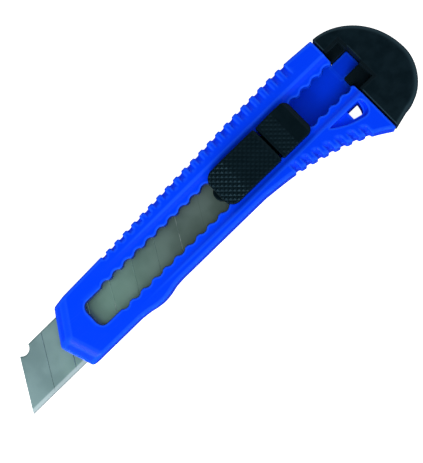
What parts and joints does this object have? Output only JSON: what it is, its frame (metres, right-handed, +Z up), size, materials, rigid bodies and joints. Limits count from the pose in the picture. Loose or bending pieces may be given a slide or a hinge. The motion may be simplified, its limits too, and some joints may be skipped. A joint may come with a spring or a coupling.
{
  "type": "snap off knife",
  "caption": "Slim moulded cutter with a sliding, locking thumb slider, a scored snap-off blade and a pull-off end cap.",
  "frame": {"origin": "middle of the knife's box, on the flat underside that it rests on", "axes": "+X from the blade's tip towards the end cap, +Y from the cutting edge towards the back of the handle, +Z up out of the slotted face"},
  "size_m": [0.17, 0.0404, 0.0144],
  "materials": {
    "handle_plastic": "satin moulded blue plastic",
    "black_plastic": "fine matt moulded black plastic",
    "blade_steel": "ground carbon steel with a thin oil film",
    "spring_steel": "bright strip steel"
  },
  "bodies": {
    "handle": {"handle_body": "handle_plastic"},
    "cap": {"end_cap": "black_plastic"},
    "slider": {"blade_carrier": "black_plastic", "slider_heel": "black_plastic", "snap_off_blade": "blade_steel", "lock_spring": "spring_steel"},
    "button": {"thumb_button": "black_plastic"}
  },
  "joints": [
    {"name": "blade_slide", "type": "slide", "parent": "handle", "child": "slider", "axis": [-1, 0, 0], "range_m": [-0.025, 0.055], "deforming": ["lock_spring"]},
    {"name": "button_press", "type": "slide", "parent": "slider", "child": "button", "axis": [0, 0, -1], "range_m": [0, 0.0009], "stiffness_N_per_m": 2500, "springref_m": -0.0005, "deforming": ["lock_spring"]},
    {"name": "cap_pull", "type": "slide", "parent": "handle", "child": "cap", "axis": [1, 0, 0], "range_m": [0, 0.035]}
  ]
}
